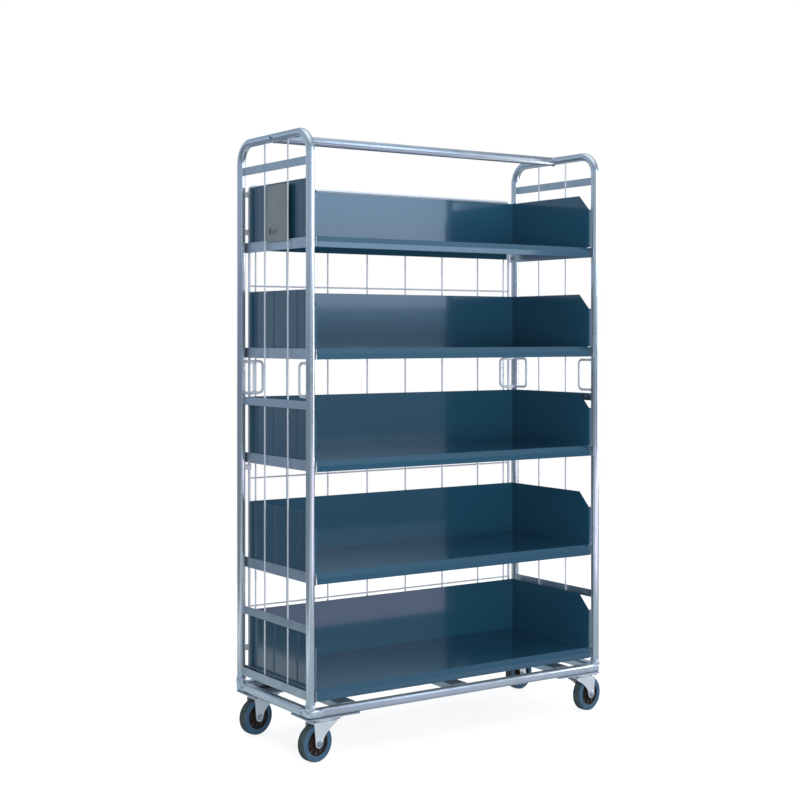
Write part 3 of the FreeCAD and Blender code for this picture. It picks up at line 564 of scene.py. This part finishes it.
def bead_loop(bm, path, thickness):
    """Weld bead along a closed path."""
    sides = 8
    centre = sum(path, Vector()) / len(path)
    rings = []
    for k, point in enumerate(path):
        along = (path[(k + 1) % len(path)] - path[k - 1]).normalized()
        out = point - centre
        out = (out - along * out.dot(along)).normalized()
        across = along.cross(out)
        size = thickness * (0.85 + 0.15 * math.sin(2.1 * k) + random.uniform(-0.05, 0.05))
        rings.append([bm.verts.new(point + size * (u * out + v * across))
                      for u, v in arc(0, 0, 1, 0, 315, sides - 1)])
    for ring, following in zip(rings, rings[1:] + rings[:1]):
        for j in range(sides):
            k = (j + 1) % sides
            bm.faces.new((ring[j], ring[k], following[k], following[j]))


def nugget(bm, centre, size):
    """Small resistance-weld lump, flattened and a little uneven."""
    sizes = Matrix.Diagonal([d * random.uniform(0.85, 1.15) for d in size] + [1.0])
    place = Matrix.Translation(centre) @ sizes
    lump = bmesh.ops.create_icosphere(bm, subdivisions=2, radius=1.0, matrix=place)
    for vert in lump["verts"]:
        vert.co += Vector([random.uniform(-0.05, 0.05) * d for d in size])


def hex_head(bm, place, flats, height):
    """Chamfered hexagon standing on local Z = 0."""
    radius = flats / math.sqrt(3)
    corners = [(math.cos(math.radians(60 * k)), math.sin(math.radians(60 * k))) for k in range(6)]
    rings = [[bm.verts.new(place @ Vector((r * x, r * y, z))) for x, y in corners]
             for r, z in ((radius, 0), (radius, 0.78 * height), (0.84 * radius, height))]
    for low, high in zip(rings, rings[1:]):
        for k in range(6):
            bm.faces.new((low[k], low[(k + 1) % 6], high[(k + 1) % 6], high[k]))
    bm.faces.new(rings[0][::-1])
    bm.faces.new(rings[-1])


def islands(node):
    """Lowest and highest corner of each separate solid in a CAD node, in the row frame."""
    item = frame["nodes"][node]
    bm = bmesh.new()
    bm.from_mesh(item.data)
    bmesh.ops.remove_doubles(bm, verts=bm.verts, dist=0.00001)
    boxes, seen = [], set()
    for vert in bm.verts:
        if vert in seen:
            continue
        members, waiting = [], [vert]
        seen.add(vert)
        while waiting:
            current = waiting.pop()
            members.append(item.matrix_world @ current.co)
            for edge in current.link_edges:
                other = edge.other_vert(current)
                if other not in seen:
                    seen.add(other)
                    waiting.append(other)
        boxes.append((Vector([min(p[a] for p in members) for a in range(3)]),
                      Vector([max(p[a] for p in members) for a in range(3)])))
    bm.free()
    return boxes


# ---------------------------------------------------------------- casters
CORNERS = ("front_left", "front_right", "rear_left", "rear_right")
LEG_INNER = 18 * MM
LEG_THICK = 3 * MM
BOSS = 13 * MM
CROWN_TOP = 115.7 * MM
RIM_SHARE = 0.7407
RIBS = 10


def wheel_place(corner):
    """Placement of a wheel: origin at its centre, local Z along the axle."""
    joint = joints[corner + "_wheel_spin"]
    return towards(joint["axis"], Vector(joint["pos_m"]))


def caster_place(corner):
    """Placement of a fork: origin on the floor under the swivel, local X forward, and the wheel's trail."""
    swivel, hub = (Vector(joints[corner + end]["pos_m"]) for end in ("_swivel", "_wheel_spin"))
    forward = Vector((swivel.x - hub.x, swivel.y - hub.y, 0))
    trail = forward.length
    forward.normalize()
    turn = Matrix((forward, UP.cross(forward), UP)).transposed().to_4x4()
    return Matrix.Translation((swivel.x, swivel.y, 0)) @ turn, trail, hub.z


def add_tyre(corner):
    """Solid tyre: nearly flat tread with two fine grooves, round shoulders and a stepped sidewall."""
    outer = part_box(corner + "_tyre")[1][2] / 2
    rim = RIM_SHARE * outer
    side = [(rim, 0.0128), (rim - 0.0030, 0.0130), (rim - 0.0034, 0.0135), (rim - 0.0026, 0.0140),
            (rim, 0.0142), (rim + 0.0036, 0.0140), (rim + 0.0042, 0.0133), (rim + 0.0050, 0.0134),
            (rim + 0.0056, 0.0144)]
    shoulder = arc(outer - 0.0052, 0.0098, 0.0049, 88, 8, 7)
    tread = [(outer - 0.0001, 0.0075), (outer - 0.0008, 0.0070), (outer - 0.0008, 0.0062), (outer, 0.0056)]
    bm = bmesh.new()
    revolve(bm, mirrored(side + shoulder + tread), wheel_place(corner), 96,
            look=lambda radius: 1 if radius > outer - 0.0030 else 0)
    add_piece(corner + "_tyre_detail", bm, corner + "_wheel", "tyre", ("tyre", "tread"),
              stands_for=[corner + "_tyre"])


def add_wheel_core(corner):
    """Moulded core: bored boss, recessed web with ribs, and a rim under the tyre."""
    place = wheel_place(corner)
    rim = RIM_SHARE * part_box(corner + "_tyre")[1][2] / 2 - 0.0001
    half = [(0.0061, 0.0172), (0.0066, 0.0175), (0.0132, 0.0175), (0.0142, 0.0166), (0.0156, 0.0072),
            (0.0172, 0.0058), (0.0322, 0.0058), (0.0338, 0.0070), (0.0346, 0.0118), (0.0356, 0.0128),
            (rim - 0.0006, 0.0129), (rim, 0.0122)]
    bm = bmesh.new()
    revolve(bm, mirrored(half), place, 96)
    rib = [(0.0142, -0.0011), (0.0349, -0.0011), (0.0349, 0.0011), (0.0142, 0.0011)]
    for k in range(RIBS):
        extrude(bm, rib, place @ Matrix.Rotation(2 * math.pi * k / RIBS, 4, "Z"), -0.0104, 0.0104)
    add_piece(corner + "_core_detail", bm, corner + "_wheel", "wheel_core",
              stands_for=[corner + "_wheel_core"], soft=0.0004)


def add_axle(corner):
    """Axle bolt: shank, a washer and a chamfered hexagon at each end, and its tip past the nut."""
    place = wheel_place(corner)
    outer = LEG_INNER + LEG_THICK
    bm = bmesh.new()
    shank = [(0, -outer), (0.0059, -outer), (0.0059, outer + 0.0058), (0.0050, outer + 0.0064),
             (0, outer + 0.0064)]
    revolve(bm, shank, place, 32)
    for side in (1, -1):
        flip = place @ Matrix.Rotation(0 if side > 0 else math.pi, 4, "X")
        washer = [(0.0062, outer), (0.0062, outer + 0.0014), (0.0098, outer + 0.0014),
                  (0.0102, outer + 0.0010), (0.0102, outer)]
        revolve(bm, washer, flip, 40)
        hex_head(bm, flip @ Matrix.Translation((0, 0, outer + 0.0014)), 0.0166, 0.0048)
    add_piece(corner + "_axle_detail", bm, corner + "_caster", "fastener",
              stands_for=[corner + "_axle"], soft=0.0003)


def add_fork(corner):
    """Pressed fork: two tapering legs with round bosses, a folded crown channel and a turned crown ring."""
    place, trail, hub = caster_place(corner)
    back, front, leg_top = -0.046, 0.042, 0.109
    leg = ([(back, leg_top), (back, 0.1037)] + arc(-trail, hub, BOSS, 182, 360, 20)
           + curve_to((-trail + BOSS, hub), (-0.012, 0.082), (front, 0.1072)) + [(front, leg_top)])
    bm = bmesh.new()
    for inner in (LEG_INNER, -LEG_INNER - LEG_THICK):
        extrude(bm, leg, place @ UPRIGHT, -inner, -inner - LEG_THICK)
    side, top, fold, skirt = LEG_INNER + LEG_THICK, 0.1145, 0.0055, 0.1085
    outside = arc(side - fold, top - fold, fold, 0, 90) + arc(fold - side, top - fold, fold, 90, 180)
    inside = (arc(fold - side, top - fold, fold - LEG_THICK, 180, 90)
              + arc(side - fold, top - fold, fold - LEG_THICK, 90, 0))
    channel = ([(side, skirt)] + outside + [(-side, skirt), (-LEG_INNER, skirt)] + inside
               + [(LEG_INNER, skirt)])
    extrude(bm, channel, place @ ALONG_X, back, front)
    crown = [(0.0125, 0.1118), (0.0340, 0.1118), (0.0362, 0.1108), (0.0376, 0.1116), (0.0380, 0.1134),
             (0.0374, 0.1150), (0.0360, CROWN_TOP), (0.0125, CROWN_TOP)]
    revolve(bm, crown, place, 72)
    boss = [(0.0088, side - 0.0005), (0.0088, 0.0216), (0.0096, 0.0220), (0.0112, 0.0220),
            (0.0122, 0.0212), (0.0124, side - 0.0005)]
    for turn in (0, math.pi):
        revolve(bm, boss, wheel_place(corner) @ Matrix.Rotation(turn, 4, "X"), 48)
    add_piece(corner + "_fork_detail", bm, corner + "_caster", "zinc_caster",
              stands_for=[corner + "_fork"], soft=0.0007)


def add_swivel_rings():
    """Pressed upper race and dust lip above each fork crown."""
    race = [(0.0300, 0.1168), (0.0326, 0.1164), (0.0342, 0.1174), (0.0346, 0.1192), (0.0334, 0.1206),
            (0.0325, 0.1225), (0.0332, 0.1238), (0.0300, 0.1238)]
    bm = bmesh.new()
    for corner in CORNERS:
        revolve(bm, race, caster_place(corner)[0], 64)
    add_piece("swivel_races", bm, "cart", "zinc_caster")


def add_caster_bolts():
    """Hexagon bolts under the caster plates, each with a washer."""
    washer = [(0.0030, 0), (0.0078, 0), (0.0078, 0.0010), (0.0074, 0.0013), (0.0030, 0.0013)]
    bm = bmesh.new()
    for low, high in islands("caster_bolts"):
        at = ((low.x + high.x) / 2, (low.y + high.y) / 2, high.z)
        down = Matrix.Translation(at) @ Matrix.Rotation(math.pi, 4, "X")
        revolve(bm, washer, down, 28)
        turn = Matrix.Rotation(random.uniform(0, math.pi / 3), 4, "Z")
        hex_head(bm, down @ turn @ Matrix.Translation((0, 0, 0.0012)), 0.0128, high.z - low.z - 0.0014)
    add_piece("caster_bolts_detail", bm, "cart", "fastener", stands_for=["caster_bolts"], soft=0.0003)


# ---------------------------------------------------------------- screws and welds
PANEL_COLUMNS = 6
PANEL_COLUMN_PITCH = 0.148
PANEL_ROWS = range(1, 8)
PANEL_ROW_PITCH = 0.1956
PANEL_EDGE_RADIUS = 0.004
PANEL_CROSSING_Y = 0.2094
LOOP_WIRE_RADIUS = 0.004
SIDE_WIRE_RADIUS = 0.0025
FLAT_BARS = ("upper_strap", "middle_strap", "lower_strap", "bottom_bar")
PLATE_BEAD = 0.0017
PLATE_BEAD_END = 0.026


def add_frame_screws():
    """Domed socket screws: outwards on the base and tie bar, inwards on the straps and rails."""
    base_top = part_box("corner_sockets")[1][2]
    tie_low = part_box("top_tie_bar")[0][2]
    bm = bmesh.new()
    for low, high in islands("frame_screws"):
        middle = (low + high) / 2
        radius, height = (high.z - low.z) / 2, high.x - low.x
        outwards = 1 if middle.x > FRAME_MIDDLE else -1
        facing = outwards if middle.z < base_top or middle.z > tie_low else -outwards
        place = towards((facing, 0, 0), Vector((low.x if facing > 0 else high.x, middle.y, middle.z)))
        dome = [(0, 0), (radius, 0), (radius, 0.25 * height)]
        for a in map(math.radians, (20, 40, 60, 80, 90)):
            dome.append((radius * (0.62 + 0.38 * math.cos(a)), height * (0.25 + 0.75 * math.sin(a))))
        dome += [(0.46 * radius, height), (0.42 * radius, 0.35 * height), (0, 0.35 * height)]
        revolve(bm, dome, place, 28)
    add_piece("frame_screws_detail", bm, "cart", "fastener", stands_for=["frame_screws"])


def add_bar_welds():
    """Upright beads where the flat bars meet the posts."""
    bm = bmesh.new()
    for side in ("left", "right"):
        for bar in FLAT_BARS:
            low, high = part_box(f"{side}_{bar}")
            for y in (low[1], high[1]):
                for x in (low[0], high[0]):
                    reach = 0.0002 if y > 0 else -0.0002
                    bead(bm, (x, y + reach, low[2] + 0.0015), (x, y + reach, high[2] - 0.0015), 0.0019)
    add_piece("bar_welds", bm, "cart", "zinc_tube", ("weld",))


def add_loop_welds():
    """Round beads where the wire loops meet the posts."""
    bm = bmesh.new()
    for low, high in islands("handle_loops"):
        middle = (low + high) / 2
        along_y = high.x - low.x < high.y - low.y
        for z in (low.z + LOOP_WIRE_RADIUS, high.z - LOOP_WIRE_RADIUS):
            if along_y:
                centre, axis = (middle.x, high.y if middle.y > 0 else low.y, z), (0, 1, 0)
            else:
                centre, axis = (high.x if middle.x > FRAME_MIDDLE else low.x, middle.y, z), (1, 0, 0)
            bead_loop(bm, ring_path(centre, axis, LOOP_WIRE_RADIUS + 0.0003, 24), 0.0012)
    add_piece("loop_welds", bm, "cart", "zinc_tube", ("weld",))


def add_wire_welds():
    """Resistance welds: side wires to the flat bars, and the crossings of the rear panel."""
    bm = bmesh.new()
    for side, inwards in (("left", 1), ("right", -1)):
        wire_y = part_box(f"{side}_side_wires")[1][1] - SIDE_WIRE_RADIUS
        for bar in FLAT_BARS:
            low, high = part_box(f"{side}_{bar}")
            x = (high[0] if inwards > 0 else low[0]) + 0.0002 * inwards
            for y in (-wire_y, wire_y):
                nugget(bm, (x, y, (low[2] + high[2]) / 2), (0.0012, 0.0036, 0.0052))
    low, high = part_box("rear_mesh_panel")
    columns = [FRAME_MIDDLE + (k - (PANEL_COLUMNS - 1) / 2) * PANEL_COLUMN_PITCH
               for k in range(PANEL_COLUMNS)]
    columns += [low[0] + PANEL_EDGE_RADIUS, high[0] - PANEL_EDGE_RADIUS]
    for row in PANEL_ROWS:
        z = low[2] + PANEL_EDGE_RADIUS + row * PANEL_ROW_PITCH
        for x in columns:
            nugget(bm, (x, PANEL_CROSSING_Y, z), (0.0031, 0.0012, 0.0030))
    add_piece("wire_welds", bm, "cart", "zinc_tube", ("weld",))


def add_frame_welds():
    """Beads at the post collars, the tie bar's saddles, the corner plates and the cross members."""
    bm = bmesh.new()
    collar_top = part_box("corner_sockets")[1][2]
    tie_low, tie_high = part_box("top_tie_bar")
    tie_axis, tie_radius = (tie_low[2] + tie_high[2]) / 2, (tie_high[2] - tie_low[2]) / 2
    for side, inwards in (("left", 1), ("right", -1)):
        low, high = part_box(f"{side}_side_frame")
        post_x, tube = (low[0] + high[0]) / 2, (high[0] - low[0]) / 2
        top_axis = high[2] - tube
        for y in (low[1] + tube, high[1] - tube):
            bead_loop(bm, ring_path((post_x, y, collar_top), UP, tube + 0.0006), 0.0013)
        saddle = []
        for k in range(64):
            turn = 2 * math.pi * k / 64
            z = tie_axis + tie_radius * math.sin(turn)
            reach = math.sqrt(max(tube ** 2 - (z - top_axis) ** 2, 0))
            saddle.append(Vector((post_x + inwards * reach, tie_radius * math.cos(turn), z)))
        bead_loop(bm, saddle, 0.0016)
    for low, high in islands("corner_plates"):
        inner_x = high.x if low.x < FRAME_MIDDLE else low.x
        outer_x = low.x if low.x < FRAME_MIDDLE else high.x
        inner_y = high.y if low.y < 0 else low.y
        outer_y = low.y if low.y < 0 else high.y
        rail_y = math.copysign(PLATE_BEAD_END, -outer_y)
        rail_x = math.copysign(PLATE_BEAD_END, inner_x - outer_x)
        z = high.z
        bead(bm, (inner_x, outer_y + 0.1 * rail_y, z), (inner_x, outer_y + rail_y, z), PLATE_BEAD)
        bead(bm, (outer_x + 0.1 * rail_x, inner_y, z), (outer_x + rail_x, inner_y, z), PLATE_BEAD)
    for low, high in islands("base_cross_members"):
        for y in (low.y, high.y):
            z = high.z - 0.001
            bead(bm, (low.x + 0.004, y, z), (high.x - 0.004, y, z), PLATE_BEAD)
    add_piece("frame_welds", bm, "cart", "zinc_tube", ("weld",))


# ---------------------------------------------------------------- clips and label
CLIP_THICK = 0.0014
CLIP_ROOT = 0.0022
RIM_WIDE = 0.0014
RIM_DEEP = 0.0012


def add_panel_clips():
    """Strip clips folded round the panel's edge rod and welded to the post."""
    bm = bmesh.new()
    for low, high in islands("panel_clips"):
        middle = (low + high) / 2
        inwards = 1 if middle.x < FRAME_MIDDLE else -1
        outer = (high.y - low.y) / 2
        inner = outer - CLIP_THICK
        reach = high.x - low.x - outer
        fold = (arc(reach, 0, outer, -90, 90, 10) + [(CLIP_ROOT, outer), (CLIP_ROOT, inner)]
                + arc(reach, 0, inner, 90, -90, 10) + [(CLIP_ROOT, -inner), (CLIP_ROOT, -outer)])
        root = low.x if inwards > 0 else high.x
        place = Matrix.Translation((root, middle.y, low.z)) @ Matrix.Diagonal((inwards, 1, 1, 1))
        extrude(bm, fold, place, 0, high.z - low.z)
        x = root + CLIP_ROOT * inwards
        for y in (low.y + 0.0007, high.y - 0.0007):
            bead(bm, (x, y, low.z + 0.001), (x, y, high.z - 0.001), 0.0012)
    add_piece("panel_clips_detail", bm, "cart", "zinc_strip", ("zinc_caster",),
              stands_for=["panel_clips"], soft=0.0003)


def rounded_rectangle(half_width, half_height, corner):
    """Points of a rectangle with round corners about the origin."""
    points = []
    for sx, sy, start in ((1, 1, 0), (-1, 1, 90), (-1, -1, 180), (1, -1, 270)):
        points += arc(sx * (half_width - corner), sy * (half_height - corner), corner, start, start + 90, 5)
    return points


def add_label_details():
    """Turned-up rim round the plate and a few blank raised fields in place of its print."""
    low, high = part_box("label_plate")
    half_width, half_height = (high[1] - low[1]) / 2, (high[2] - low[2]) / 2
    place = Matrix.Translation((low[0], 0, (low[2] + high[2]) / 2)) @ ALONG_X
    outside = rounded_rectangle(half_width, half_height, 0.005)
    inside = rounded_rectangle(half_width - RIM_WIDE, half_height - RIM_WIDE, 0.004)
    bm = bmesh.new()
    rings = [[bm.verts.new(place @ Vector((x, y, z))) for x, y in outline]
             for outline, z in ((outside, 0.0), (outside, -RIM_DEEP), (inside, -RIM_DEEP), (inside, 0.0))]
    for first, second in zip(rings, rings[1:] + rings[:1]):
        for k in range(len(outside)):
            j = (k + 1) % len(outside)
            bm.faces.new((first[k], first[j], second[j], second[k]))
    add_piece("label_rim", bm, "cart", "label_plate")
    bm = bmesh.new()
    left = half_width - 0.014
    for wide, tall, across, up in ((0.010, 0.018, 0.005, -0.052), (0.040, 0.0016, 0.034, -0.050),
                                   (0.034, 0.0016, 0.031, -0.055), (0.028, 0.0016, 0.028, -0.060)):
        field = [(left - across + x, up + y) for x, y in rounded_rectangle(wide / 2, tall / 2, 0.0006)]
        extrude(bm, field, place, -0.0003, 0.0001)
    add_piece("label_fields", bm, "cart", "label_plate", ("plate_field",))


add_camera()
add_studio()
finish_cad_nodes()
for corner in CORNERS:
    add_tyre(corner)
    add_wheel_core(corner)
    add_axle(corner)
    add_fork(corner)
add_swivel_rings()
add_caster_bolts()
add_frame_screws()
add_bar_welds()
add_loop_welds()
add_wire_welds()
add_frame_welds()
add_panel_clips()
add_label_details()
